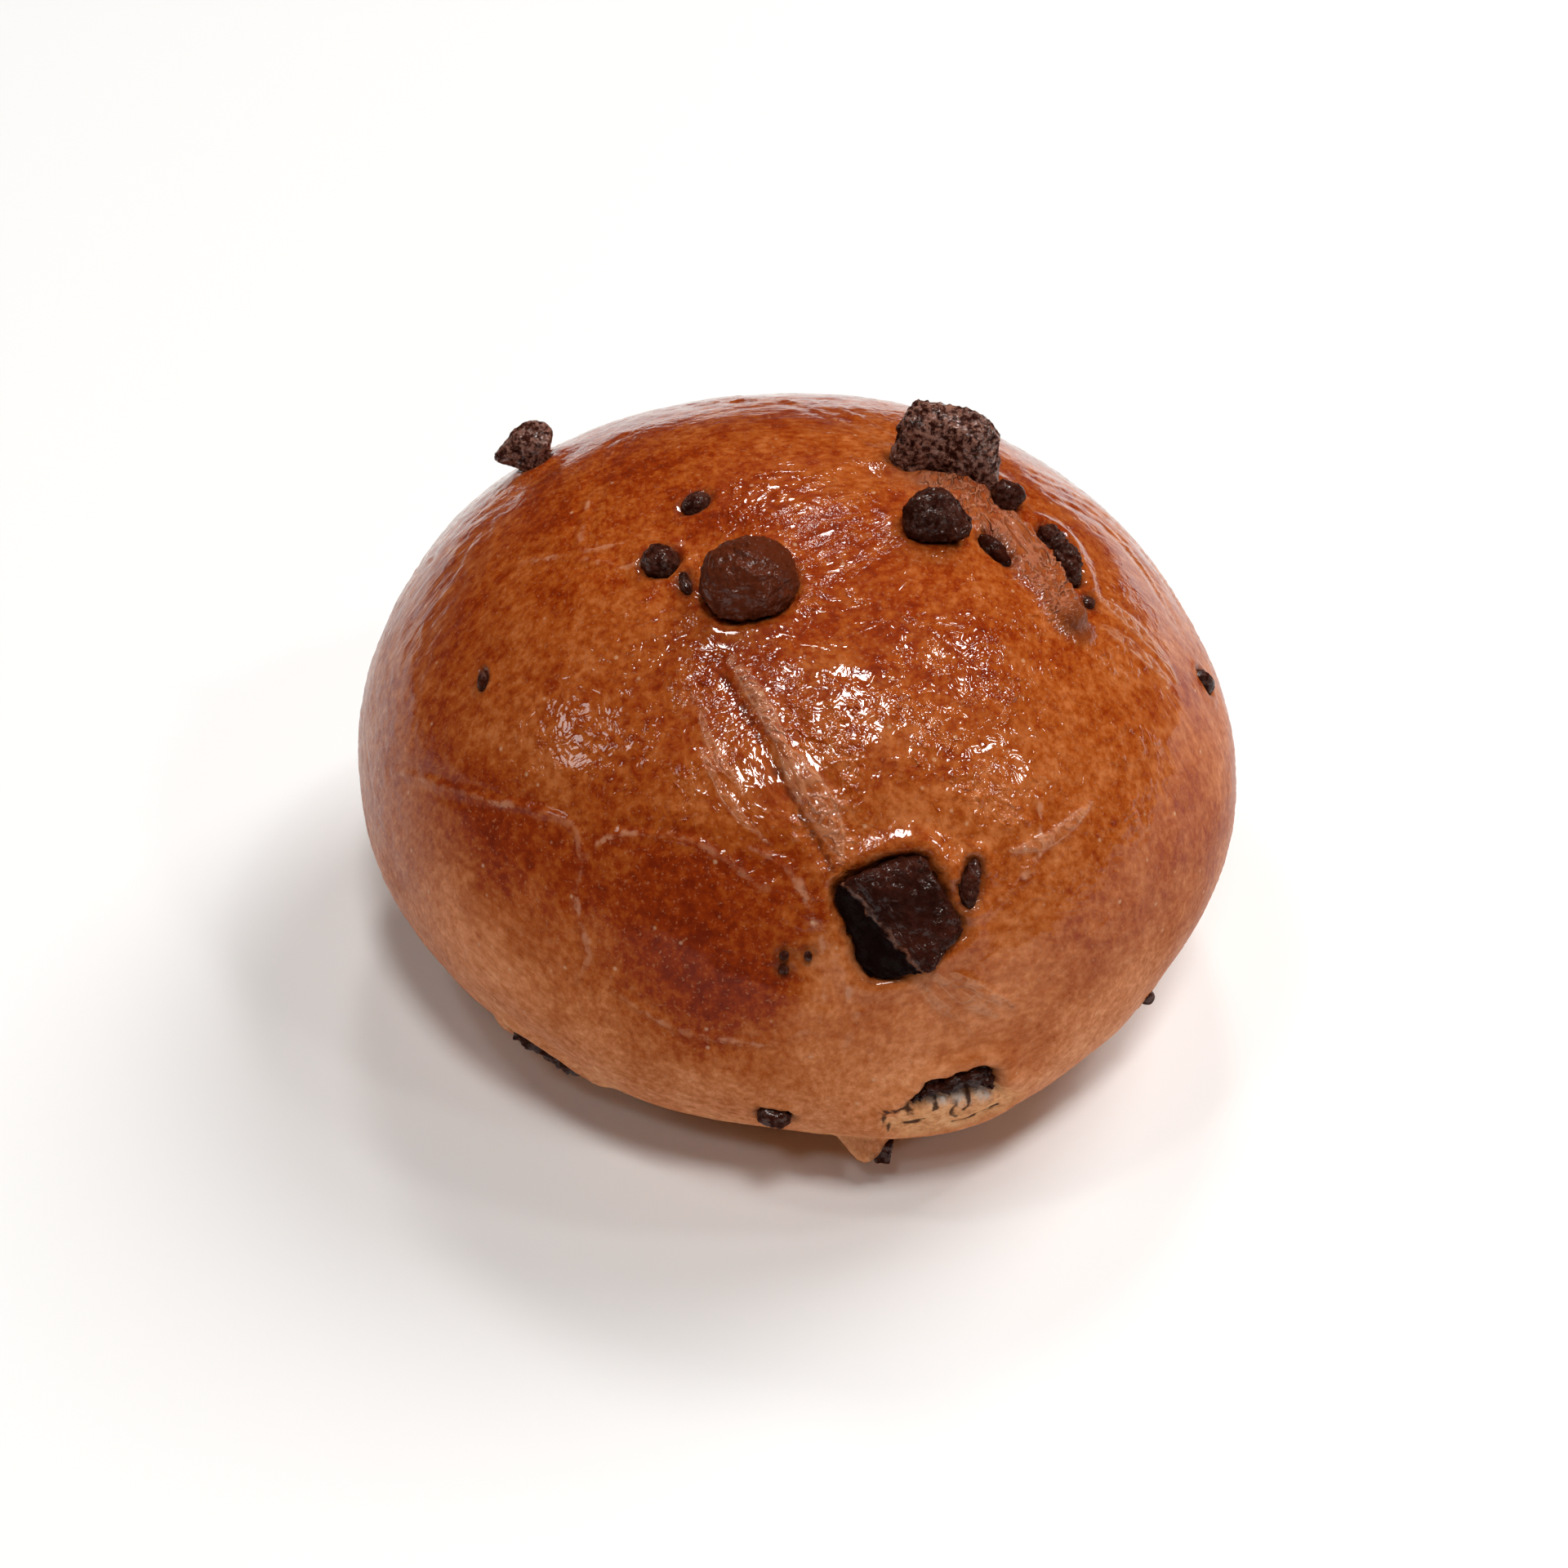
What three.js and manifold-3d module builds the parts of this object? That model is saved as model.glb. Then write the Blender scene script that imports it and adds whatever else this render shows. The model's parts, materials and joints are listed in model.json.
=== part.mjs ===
// A chocolate chip brioche bun: one baked ball of dough, and the chocolate chips held in its crust.
// Millimetres, +Z up. The bun stands on its flat underside, and the origin is the middle of that
// underside's level, below the centre of the whole bun.
import * as THREE from "three";
import { mergeVertices } from "three/addons/utils/BufferGeometryUtils.js";
import Module from "manifold-3d";

const wasm = await Module();
wasm.setup();

// ---------- Driving dimensions ----------

// The dough is a dome. Its widest level is the waist. Above the waist it is close to half an
// ellipsoid. Below the waist the side stays steep and then tucks in to a flat foot.
const HALF_LENGTH = 55.4;
const HALF_WIDTH = 51.8;
const LENGTH_BEARING = -33.8; // degrees, from +X towards +Y, of the longer axis
const WAIST_HEIGHT = 23.8;
const CROWN_RISE = 44.9; // waist to crown
const FOOT_DROP = 26.4; // waist to where the rounded underside would end
const CROWN_POWER = 1.06; // 1 is an ellipse; more makes the dome a little more pointed
const FOOT_POWER = 0.63; // less than 1 keeps the lower side full

// The dough rose unevenly. Each swell is a broad hump or dip: the bearing and rise of its middle
// in degrees, how far it stands out in millimetres, and how widely it spreads in degrees.
const MEAN_RADIUS = 54;
const SWELLS = [
  { bearing: 30, rise: 45, out: 1.2, spread: 28 },
  { bearing: 160, rise: 25, out: 1.1, spread: 28 },
  { bearing: -65, rise: -30, out: 2.7, spread: 28 },
  { bearing: -35, rise: -15, out: -2.8, spread: 28 },
  { bearing: 10, rise: 30, out: -0.7, spread: 28 },
  { bearing: -10, rise: 5, out: 0.6, spread: 28 },
  { bearing: -130, rise: -22, out: -0.6, spread: 35 },
];

// A small tail of dough that was pinched out near the foot, on the front.
const NUB = { bearing: -79.6, rise: -39.4, width: 6, depth: 4.4, height: 4.2, sink: 0.6, spin: 12 };

const CLEARANCE = 0.3; // gap between a chip and the dough around it
const DOUGH_DETAIL = 12; // how finely the dough's surface is divided
const LARGE_CHIP = 6; // a chip at least this wide is divided more finely
const GROUND_MARGIN = 20; // how far the block that flattens the foot reaches past the dough

// ---------- Chips ----------

// Each chip sits in the crust at a bearing and a rise, seen from the middle of the waist.
//   size    width, depth and height: the first two lie along the crust, the last stands out of it
//   sink    how far its middle lies below the crust; a negative sink stands it proud
//   block   2 is an egg shape, and more is a squarer block with rounded corners
//   taper   how much narrower it gets towards its outer end
//   bend    how far the ends of its width curl round towards its depth's near side
//   spin    degrees, turned about the crust's outward direction; at 0 its width lies along +X
//   lean    degrees, tipped over towards the end of its width
const CHIPS = [
  // the crown
  { name: "chip_crown_chunk", bearing: 9, rise: 71.5, size: [12.4, 6, 7], sink: -2.6, block: 4,
    spin: 5, lean: 10 },
  { name: "chip_crown_drop", bearing: -36, rise: 69.9, size: [7.4, 7.3, 7], sink: -1.6, block: 2.3,
    taper: 0.18, lean: -12 },
  { name: "chip_crown_bead", bearing: -4, rise: 63.4, size: [3.8, 3.7, 4.2], sink: -0.5, block: 2.4,
    taper: 0.08 },
  { name: "chip_crown_slit", bearing: -26.5, rise: 62.6, size: [5.2, 2.2, 2.6], sink: 0.7, block: 2.2,
    spin: -46 },
  { name: "chip_ridge_long", bearing: -14, rise: 55.2, size: [8, 3.2, 3.4], sink: 0.4, block: 2.8,
    spin: -62 },
  { name: "chip_ridge_dot", bearing: -22, rise: 49.7, size: [1.7, 1.8, 1.8], sink: 0.3, block: 2.2 },
  // the top, left of the middle
  { name: "chip_top_round", bearing: -105, rise: 65, size: [10.5, 9.6, 7.6], sink: -1.6, block: 2.3,
    taper: 0.1, spin: 12 },
  { name: "chip_top_sunk", bearing: -136, rise: 64.4, size: [4, 4.3, 4], sink: 0.6, block: 2.6,
    spin: 24 },
  { name: "chip_top_tail", bearing: -123.6, rise: 63.2, size: [1.3, 3.4, 2], sink: 0.3, block: 2.2,
    spin: 14 },
  { name: "chip_top_peeping", bearing: -149.5, rise: 73.8, size: [3.7, 2.8, 3], sink: 0.6, block: 2.4,
    spin: 30 },
  // the left shoulder
  { name: "chip_shoulder_drop", bearing: 154, rise: 48.9, size: [8, 6.4, 7.2], sink: -2.7,
    block: 2.7, taper: 0.1, spin: 14, lean: 18 },
  { name: "chip_shoulder_speck", bearing: -150, rise: 38.6, size: [1.4, 2.8, 1.8], sink: 0.3,
    block: 2.2 },
  // the front
  { name: "chip_front_chunk", bearing: -77.4, rise: 23.7, size: [10.2, 12.2, 8], sink: 0.5,
    block: 3.8, spin: 22, lean: 10 },
  { name: "chip_front_sliver", bearing: -68, rise: 26.6, size: [2, 5.2, 2.6], sink: 0.5,
    block: 2.4, spin: -10 },
  { name: "chip_front_crumb_a", bearing: -91.6, rise: 18.7, size: [1.1, 1.1, 1.2], sink: 0.15, block: 2 },
  { name: "chip_front_crumb_b", bearing: -91.6, rise: 16.7, size: [1.3, 1, 1.2], sink: 0.15, block: 2 },
  { name: "chip_front_crumb_c", bearing: -88.7, rise: 18.8, size: [1, 1.2, 1.2], sink: 0.15, block: 2 },
  // low on the front, where the skin tore
  { name: "chip_low_front", bearing: -92.6, rise: -18, size: [4.2, 3.2, 3], sink: 0.7, block: 2.5 },
  { name: "chip_torn_arch", bearing: -70.8, rise: -6.8, size: [9.2, 2.6, 3.4], sink: 0.6, block: 2.6,
    bend: 1.1, spin: 12 },
  { name: "chip_nub", bearing: -77.4, rise: -38.4, size: [2.6, 2.6, 2.6], sink: -0.6, block: 2.3 },
  // the right and left edges
  { name: "chip_right_edge", bearing: -9.6, rise: 26.6, size: [4.2, 2.2, 2.6], sink: 0.5, block: 2.4,
    spin: -4 },
  { name: "chip_right_low", bearing: -37, rise: -20.8, size: [2, 2.6, 2.2], sink: 0.1, block: 2.3 },
  { name: "chip_left_low", bearing: -126.8, rise: -27.4, size: [10, 3, 3], sink: 0.6, block: 2.8,
    spin: -14 },
  // the far side
  { name: "chip_back_chunk", bearing: 100, rise: 24, size: [9.6, 8.4, 7.6], sink: -0.6, block: 3.2,
    spin: 24, lean: 6 },
  { name: "chip_back_drop", bearing: 56, rise: 18, size: [7.6, 7.4, 7.4], sink: -1.4, block: 2.3,
    taper: 0.2, lean: 8 },
  { name: "chip_back_long", bearing: 136, rise: 9, size: [7.4, 3.2, 3.4], sink: 0.7, block: 2.6,
    spin: 38 },
  { name: "chip_back_sunk", bearing: 166, rise: 2, size: [4.8, 4.2, 3.8], sink: 0.9, block: 2.5,
    spin: -20 },
  { name: "chip_back_bead", bearing: 24, rise: 4, size: [3.6, 3.4, 3.4], sink: 0, block: 2.2 },
  { name: "chip_back_speck", bearing: 82, rise: 4, size: [1.8, 2.6, 2], sink: 0.3, block: 2.2 },
  { name: "chip_back_low", bearing: 104, rise: -24, size: [5.4, 3.2, 3.2], sink: 0.8, block: 2.5,
    spin: -8 },
];

// ---------- Materials ----------

const CRUST = { color: "#a04f1f", roughness: 0.38, metalness: 0 };
const CHOCOLATE = { color: "#33180f", roughness: 0.6, metalness: 0 };

// ---------- The dough's surface ----------

// The unit vector at a bearing round +Z and a rise above the waist, both in degrees.
function direction(bearing, rise) {
  const turn = THREE.MathUtils.degToRad(bearing);
  const lift = THREE.MathUtils.degToRad(rise);
  return new THREE.Vector3(
    Math.cos(lift) * Math.cos(turn),
    Math.cos(lift) * Math.sin(turn),
    Math.sin(lift),
  );
}

// How much the swells push the surface out along a unit vector, as a factor close to 1.
function swellFactor(unit) {
  let factor = 1;
  for (const { bearing, rise, out, spread } of SWELLS) {
    const apart = THREE.MathUtils.radToDeg(unit.angleTo(direction(bearing, rise)));
    factor += (out / MEAN_RADIUS) * Math.exp(-((apart / spread) ** 2));
  }
  return factor;
}

// The point of the dough's surface along a unit vector from the middle of the waist.
function doughPoint(unit) {
  const level = THREE.MathUtils.clamp(unit.z, -1, 1);
  const inward = Math.sqrt(Math.max(0, 1 - level * level));
  const turn = Math.atan2(unit.y, unit.x);
  const fromLength = turn - THREE.MathUtils.degToRad(LENGTH_BEARING);
  const waistRadius =
    (HALF_LENGTH * HALF_WIDTH) /
    Math.hypot(HALF_WIDTH * Math.cos(fromLength), HALF_LENGTH * Math.sin(fromLength));
  const power = level > 0 ? CROWN_POWER : FOOT_POWER;
  const reach = level > 0 ? CROWN_RISE : FOOT_DROP;
  const radius = waistRadius * inward ** power;
  const point = new THREE.Vector3(radius * Math.cos(turn), radius * Math.sin(turn), reach * level);
  point.multiplyScalar(swellFactor(unit));
  point.z += WAIST_HEIGHT;
  return point;
}

// The place on the surface at a bearing and a rise: local z points out of the crust, local x lies
// on the crust as near to +X as it can, and local y goes on from there, away or upwards.
function placeOnDough({ bearing, rise, sink = 0, spin = 0, lean = 0 }) {
  const step = 0.5; // degrees to each side, to measure the slope
  const at = (b, r) => doughPoint(direction(b, r));
  const round = at(bearing + step, rise).sub(at(bearing - step, rise));
  const up = at(bearing, rise + step).sub(at(bearing, rise - step));
  const out = round.cross(up).normalize();
  const away = out.clone().cross(new THREE.Vector3(1, 0, 0)).normalize();
  const along = away.clone().cross(out);
  const place = new THREE.Matrix4().makeBasis(along, away, out);
  place.setPosition(at(bearing, rise).addScaledVector(out, -sink));
  place.multiply(new THREE.Matrix4().makeRotationZ(THREE.MathUtils.degToRad(spin)));
  place.multiply(new THREE.Matrix4().makeRotationY(THREE.MathUtils.degToRad(lean)));
  return place;
}

// ---------- Shapes ----------

// Moves each vertex of a unit icosphere to where the function puts it.
function shapedBall(detail, move) {
  const ball = new THREE.IcosahedronGeometry(1, detail);
  const position = ball.getAttribute("position");
  const unit = new THREE.Vector3();
  for (let i = 0; i < position.count; i += 1) {
    unit.fromBufferAttribute(position, i).normalize();
    const moved = move(unit);
    position.setXYZ(i, moved.x, moved.y, moved.z);
  }
  ball.deleteAttribute("normal");
  ball.deleteAttribute("uv");
  return mergeVertices(ball, 1e-3);
}

// A lump of chocolate about its own middle, made larger all over by grow.
function chipGeometry({ size, block, taper = 0, bend = 0 }, grow) {
  const half = size.map((side) => side / 2 + grow);
  const detail = size[0] >= LARGE_CHIP ? 2 : 1;
  return shapedBall(detail, (unit) => {
    const spread =
      Math.abs(unit.x) ** block + Math.abs(unit.y) ** block + Math.abs(unit.z) ** block;
    const lump = unit.clone().multiplyScalar(spread ** (-1 / block));
    const narrowing = 1 - taper * lump.z;
    return new THREE.Vector3(
      half[0] * lump.x * narrowing,
      half[1] * lump.y * narrowing - bend * lump.x ** 2,
      half[2] * lump.z,
    );
  });
}

// ---------- Joining and cutting ----------

function toSolid(geometry, place = new THREE.Matrix4()) {
  const placed = geometry.clone().applyMatrix4(place);
  const mesh = new wasm.Mesh({
    numProp: 3,
    vertProperties: new Float32Array(placed.getAttribute("position").array),
    triVerts: new Uint32Array(placed.index.array),
  });
  return new wasm.Manifold(mesh);
}

function toGeometry(solid) {
  const { vertProperties, triVerts } = solid.getMesh();
  const geometry = new THREE.BufferGeometry();
  geometry.setAttribute("position", new THREE.BufferAttribute(new Float32Array(vertProperties), 3));
  geometry.setIndex(new THREE.BufferAttribute(new Uint32Array(triVerts), 1));
  geometry.computeVertexNormals();
  return geometry;
}

// ---------- The pieces ----------

// The dough, flat underneath, with its pinched nub and an open pocket for every chip.
function makeBun() {
  let dough = toSolid(shapedBall(DOUGH_DETAIL, doughPoint));
  const nub = { size: [NUB.width, NUB.depth, NUB.height], block: 2 };
  dough = dough.add(toSolid(chipGeometry(nub, 0), placeOnDough(NUB)));

  const side = 2 * (HALF_LENGTH + GROUND_MARGIN);
  const ground = new THREE.BoxGeometry(side, side, GROUND_MARGIN);
  ground.deleteAttribute("normal");
  ground.deleteAttribute("uv");
  ground.translate(0, 0, -GROUND_MARGIN / 2);
  dough = dough.subtract(toSolid(mergeVertices(ground)));

  for (const chip of CHIPS) {
    dough = dough.subtract(toSolid(chipGeometry(chip, CLEARANCE), placeOnDough(chip)));
  }
  const bun = new THREE.Mesh(toGeometry(dough), new THREE.MeshStandardMaterial(CRUST));
  bun.name = "bun";
  return bun;
}

function makeChip(chip) {
  const geometry = chipGeometry(chip, 0);
  geometry.computeVertexNormals();
  const mesh = new THREE.Mesh(geometry, new THREE.MeshStandardMaterial(CHOCOLATE));
  mesh.name = chip.name;
  placeOnDough(chip).decompose(mesh.position, mesh.quaternion, mesh.scale);
  return mesh;
}

const group = new THREE.Group();
group.add(makeBun());
for (const chip of CHIPS) {
  group.add(makeChip(chip));
}

// The origin goes below the middle of everything, at the level of the foot.
const extent = new THREE.Box3().setFromObject(group, true);
const middle = extent.getCenter(new THREE.Vector3());
group.position.set(-middle.x, -middle.y, -extent.min.z);

export default group;
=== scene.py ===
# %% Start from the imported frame
import json
import math
import bpy
import numpy as np
from mathutils import Matrix, Vector, noise
from mathutils.bvhtree import BVHTree

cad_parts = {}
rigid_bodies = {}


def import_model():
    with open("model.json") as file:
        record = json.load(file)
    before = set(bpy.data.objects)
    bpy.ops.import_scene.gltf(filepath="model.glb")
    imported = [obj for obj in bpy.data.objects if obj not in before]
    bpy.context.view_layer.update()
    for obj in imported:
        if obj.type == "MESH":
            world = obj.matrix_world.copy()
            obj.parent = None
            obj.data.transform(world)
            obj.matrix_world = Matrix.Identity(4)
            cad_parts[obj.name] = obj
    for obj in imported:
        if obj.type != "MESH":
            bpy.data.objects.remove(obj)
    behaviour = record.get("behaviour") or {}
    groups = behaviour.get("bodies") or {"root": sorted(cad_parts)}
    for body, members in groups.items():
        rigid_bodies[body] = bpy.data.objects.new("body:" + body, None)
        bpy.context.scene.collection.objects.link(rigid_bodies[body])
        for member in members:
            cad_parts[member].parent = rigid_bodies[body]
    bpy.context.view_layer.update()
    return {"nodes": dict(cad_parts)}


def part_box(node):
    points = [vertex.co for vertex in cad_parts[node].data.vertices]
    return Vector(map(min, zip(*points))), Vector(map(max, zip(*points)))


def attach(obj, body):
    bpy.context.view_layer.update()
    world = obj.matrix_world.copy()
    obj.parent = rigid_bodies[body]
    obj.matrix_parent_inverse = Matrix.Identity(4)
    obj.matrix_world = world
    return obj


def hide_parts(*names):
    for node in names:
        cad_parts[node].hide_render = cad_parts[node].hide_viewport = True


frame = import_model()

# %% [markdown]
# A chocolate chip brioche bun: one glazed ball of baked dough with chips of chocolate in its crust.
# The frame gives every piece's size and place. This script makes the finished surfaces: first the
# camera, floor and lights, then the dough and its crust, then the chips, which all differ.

MM = 0.001  # the frame is in metres; lengths below are thought of in millimetres
nodes = frame["nodes"]
chip_names = sorted(name for name in nodes if name.startswith("chip_"))
print("chips in the frame:", len(chip_names))


def select_only(thing):
    """An operator acts on all that is selected, so everything else is let go first."""
    for other in bpy.context.view_layer.objects:
        other.select_set(False)
    thing.select_set(True)
    bpy.context.view_layer.objects.active = thing


def select_vertices(thing, chosen):
    """Selects these vertices, and no others, for the next edit-mode operator."""
    bpy.ops.object.mode_set(mode="EDIT")
    bpy.ops.mesh.select_mode(type="VERT")
    bpy.ops.mesh.select_all(action="DESELECT")
    bpy.ops.object.mode_set(mode="OBJECT")
    thing.data.vertices.foreach_set("select", np.asarray(chosen, dtype=bool))
    bpy.ops.object.mode_set(mode="EDIT")


def apply_modifier(thing, kind, **settings):
    """Adds one modifier with these settings and applies it at once."""
    modifier = thing.modifiers.new(kind.title(), kind)
    for key, value in settings.items():
        setattr(modifier, key, value)
    bpy.ops.object.modifier_apply(modifier=modifier.name)


def points_of(thing):
    """The vertices' places in millimetres, one row each."""
    flat = np.empty(len(thing.data.vertices) * 3)
    thing.data.vertices.foreach_get("co", flat)
    return flat.reshape(-1, 3) / MM


def normals_of(thing):
    """The vertices' outward directions, one row each."""
    flat = np.empty(len(thing.data.vertices) * 3)
    thing.data.vertex_normals.foreach_get("vector", flat)
    return flat.reshape(-1, 3)


def set_points(thing, points):
    thing.data.vertices.foreach_set("co", (points * MM).ravel())
    thing.data.update()


def unit(vectors):
    return vectors / np.linalg.norm(vectors, axis=-1, keepdims=True)


def smoothstep(low, high, value):
    """0 below low, 1 above high, and a smooth ramp between."""
    t = np.clip((value - low) / (high - low), 0, 1)
    return t * t * (3 - 2 * t)


def bell(distance, width):
    """1 at no distance, falling smoothly to almost nothing at twice the width."""
    return np.exp(-((distance / width) ** 2))


def cloud(points, size, seed, depth=3):
    """Smooth random values from about -1 to 1 at these points, with lumps of this size."""
    shift = Vector((seed * 17.3, seed * 5.1, seed * 11.7))
    scaled = points / size
    return np.array([noise.fractal(Vector(p) + shift, 0.9, 2.0, depth) for p in scaled])


# %% [markdown]
# The bun is seen from above at about 39 degrees, from a little under 30 cm, with a slight tilt of
# the camera. The plate that it stood on is not part of it, so it stands on a plain pale floor.

# %% Camera
AIM = Vector((-1.16, 10.66, 13.0)) * MM
CAMERA_RISE = 38.6  # degrees above the horizon
CAMERA_DISTANCE = 289.2 * MM
CAMERA_ROLL = 0.49  # degrees

rise = math.radians(CAMERA_RISE)
toward_camera = Vector((0, -math.cos(rise), math.sin(rise)))
bpy.ops.object.camera_add(location=AIM + toward_camera * CAMERA_DISTANCE)
camera = bpy.context.object
camera.name = "camera"
aim_turn = (-toward_camera).to_track_quat("-Z", "Y")
roll_turn = Matrix.Rotation(math.radians(CAMERA_ROLL), 3, "Z").to_quaternion()
camera.rotation_euler = (aim_turn @ roll_turn).to_euler()
camera.data.lens = 50
camera.data.sensor_width = 36
camera.data.clip_start = 0.01
bpy.context.scene.camera = camera

# %% [markdown]
# A glazed crust mirrors the room. The table is white, so the crust's edges carry a pale sheen.
# The room above is dim, so the crust that faces up keeps its deep colour. A broad lamp on the
# right and behind gives the soft shadow to the left and front. A few small strong lamps overhead,
# and a weak one low on the left, light the sparks on the wrinkled glaze. All stand far off, so
# that the table is lit evenly.

# %% Floor and room
FLOOR_SIDE = 5.0
bpy.ops.mesh.primitive_plane_add(size=FLOOR_SIDE)
floor = bpy.context.object
floor.name = "floor"
floor_finish = bpy.data.materials.new("floor_finish")
floor_finish.use_nodes = True
floor_shader = floor_finish.node_tree.nodes["Principled BSDF"]
floor_shader.inputs["Base Color"].default_value = (0.81, 0.81, 0.805, 1)
floor_shader.inputs["Roughness"].default_value = 0.7
floor.data.materials.append(floor_finish)

TABLE_LIGHT = 0.05  # how bright the room is at the level of the table
WALL_LIGHT = 0.008  # and from a little above it
GLOW_HEIGHT = 0.16  # how far up the table's light reaches, as the sine of an angle
room = bpy.data.worlds.new("room")
room.use_nodes = True
room_nodes = room.node_tree.nodes
room_links = room.node_tree.links
room_way = room_nodes.new("ShaderNodeTexCoord")
room_split = room_nodes.new("ShaderNodeSeparateXYZ")
room_glow = room_nodes.new("ShaderNodeMapRange")
room_glow.interpolation_type = "SMOOTHSTEP"
room_links.new(room_way.outputs["Generated"], room_split.inputs["Vector"])
room_links.new(room_split.outputs["Z"], room_glow.inputs["Value"])
for key, bound in (("From Max", GLOW_HEIGHT), ("To Min", TABLE_LIGHT), ("To Max", WALL_LIGHT)):
    room_glow.inputs[key].default_value = bound
room_path = room_nodes.new("ShaderNodeLightPath")  # seen directly, the room is plain white
room_seen = room_nodes.new("ShaderNodeMath")
room_seen.operation = "MAXIMUM"
room_links.new(room_glow.outputs["Result"], room_seen.inputs[0])
room_links.new(room_path.outputs["Is Camera Ray"], room_seen.inputs[1])
room_nodes["Background"].inputs["Color"].default_value = (1, 1, 1, 1)
room_links.new(room_seen.outputs["Value"], room_nodes["Background"].inputs["Strength"])
bpy.context.scene.world = room

# %% Lamps
LAMP_DISTANCE = 3.0
SPARK_WIDTH, SPARK_POWER, SPARK_WARMTH = 0.30, 7.5, 0.98
SPARK_WAYS = [(-0.34, -0.05, 0.93), (-0.14, -0.50, 0.82), (0.62, -0.35, 0.69), (0.45, 0.05, 0.80)]


def add_lamp(name, way, width, power, warmth=1.0):
    """A round lamp of this width in metres, far off in this direction and facing the bun."""
    place = Vector(way).normalized() * LAMP_DISTANCE
    bpy.ops.object.light_add(type="AREA", location=place)
    lamp = bpy.context.object
    lamp.name = name
    lamp.data.shape = "DISK"
    lamp.data.size = width
    lamp.data.energy = power
    lamp.data.color = (1, warmth, warmth * warmth)
    lamp.rotation_euler = (-place).to_track_quat("-Z", "Y").to_euler()
    return lamp


broad_lamp = add_lamp("broad_lamp", (0.50, 0.42, 0.72), 1.6, 60)
broad_lamp.visible_glossy = False  # it only lights the crust and lays no haze on it
add_lamp("main_spark", (0.09, -0.31, 0.95), 0.58, 36, SPARK_WARMTH)
add_lamp("far_spark", (0.00, 0.56, 0.83), 0.46, 15, SPARK_WARMTH)
add_lamp("left_glow", (-0.775, -0.15, 0.60), 0.50, 5, SPARK_WARMTH)
for number, way in enumerate(SPARK_WAYS):
    add_lamp(f"spark_{number}", way, SPARK_WIDTH, SPARK_POWER, SPARK_WARMTH)
bpy.context.scene.view_settings.view_transform = "Standard"

# %% [markdown]
# The dough. A cube that is cut up finely and blown into a ball is a good start for it: its faces
# are all squares of about one size. The ball is drawn in on to the frame's bun, and subdivision
# then rounds off the frame's flat facets.

# %% The dough's overall shape
CUBE_CUTS = 15
SUBDIVISIONS = 3
ROUNDING_LOSS = 0.19  # mm that subdivision draws a curve of this size inwards
BALL_MARGIN = 1.15  # the ball starts this much larger than the bun

bun_low, bun_high = (np.array(corner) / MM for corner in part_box("bun"))
bun_size = bun_high - bun_low
bun_middle = (bun_low + bun_high) / 2

bpy.ops.mesh.primitive_cube_add(size=1)
dough = bpy.context.object
dough.name = "dough"
select_only(dough)
bpy.ops.object.mode_set(mode="EDIT")
bpy.ops.mesh.select_all(action="SELECT")
bpy.ops.mesh.subdivide(number_cuts=CUBE_CUTS)
bpy.ops.transform.tosphere(value=1)
bpy.ops.object.mode_set(mode="OBJECT")
ball = unit(points_of(dough))
set_points(dough, ball * bun_size / 2 * BALL_MARGIN + bun_middle)
apply_modifier(dough, "SHRINKWRAP", target=nodes["bun"], offset=ROUNDING_LOSS * MM)
print("dough cage:", len(dough.data.vertices), "vertices")

# %% [markdown]
# The frame's bun has a pocket for each chip. Near a chip the cage is smoothed, so that the dough
# runs on under the chip. The chips press their own hollows later.

# %% Smooth the cage under the chips
SMOOTHED_ROUND_CHIP = 2.5  # mm
chip_middles = {}
chip_reaches = {}
for name in chip_names:
    corners = points_of(nodes[name])
    chip_middles[name] = (corners.min(axis=0) + corners.max(axis=0)) / 2
    chip_reaches[name] = np.linalg.norm(corners - chip_middles[name], axis=1).max()

cage = points_of(dough)
near_chip = np.zeros(len(cage), dtype=bool)
for name in chip_names:
    gap = np.linalg.norm(cage - chip_middles[name], axis=1) - chip_reaches[name]
    near_chip |= gap < SMOOTHED_ROUND_CHIP
select_vertices(dough, near_chip)
bpy.ops.mesh.vertices_smooth(factor=0.5, repeat=4)
bpy.ops.object.mode_set(mode="OBJECT")
apply_modifier(dough, "SUBSURF", levels=SUBDIVISIONS, render_levels=SUBDIVISIONS)
print("dough:", len(dough.data.polygons), "faces, size", np.ptp(points_of(dough), axis=0).round(1))

# %% [markdown]
# Marks on the crust are placed by their bearing round the bun and their rise above its widest
# level, both in degrees, as on a globe. The bun is a flattened globe: its crown is lower than it is
# wide, and its foot is lower still but full. A ray from the middle of the widest level, sent to
# where the place is on such a globe, finds the surface.

# %% Finding places on the dough
WAIST_SHARE = 0.347  # height of the widest level, as a share of the bun's height
CROWN_POWER = 1.06  # more than 1 makes the dome a little more pointed
FOOT_POWER = 0.63  # less than 1 keeps the lower side full
FOOT_DROP = 1.11  # the rounded foot would end this much below the widest level, in its heights
waist = np.array([bun_middle[0], bun_middle[1], bun_low[2] + WAIST_SHARE * bun_size[2]])
waist_radius = (bun_size[0] + bun_size[1]) / 4


def tree_of(thing):
    faces = [list(face.vertices) for face in thing.data.polygons]
    return BVHTree.FromPolygons([Vector(p) for p in points_of(thing)], faces)


dough_tree = tree_of(dough)


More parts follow.
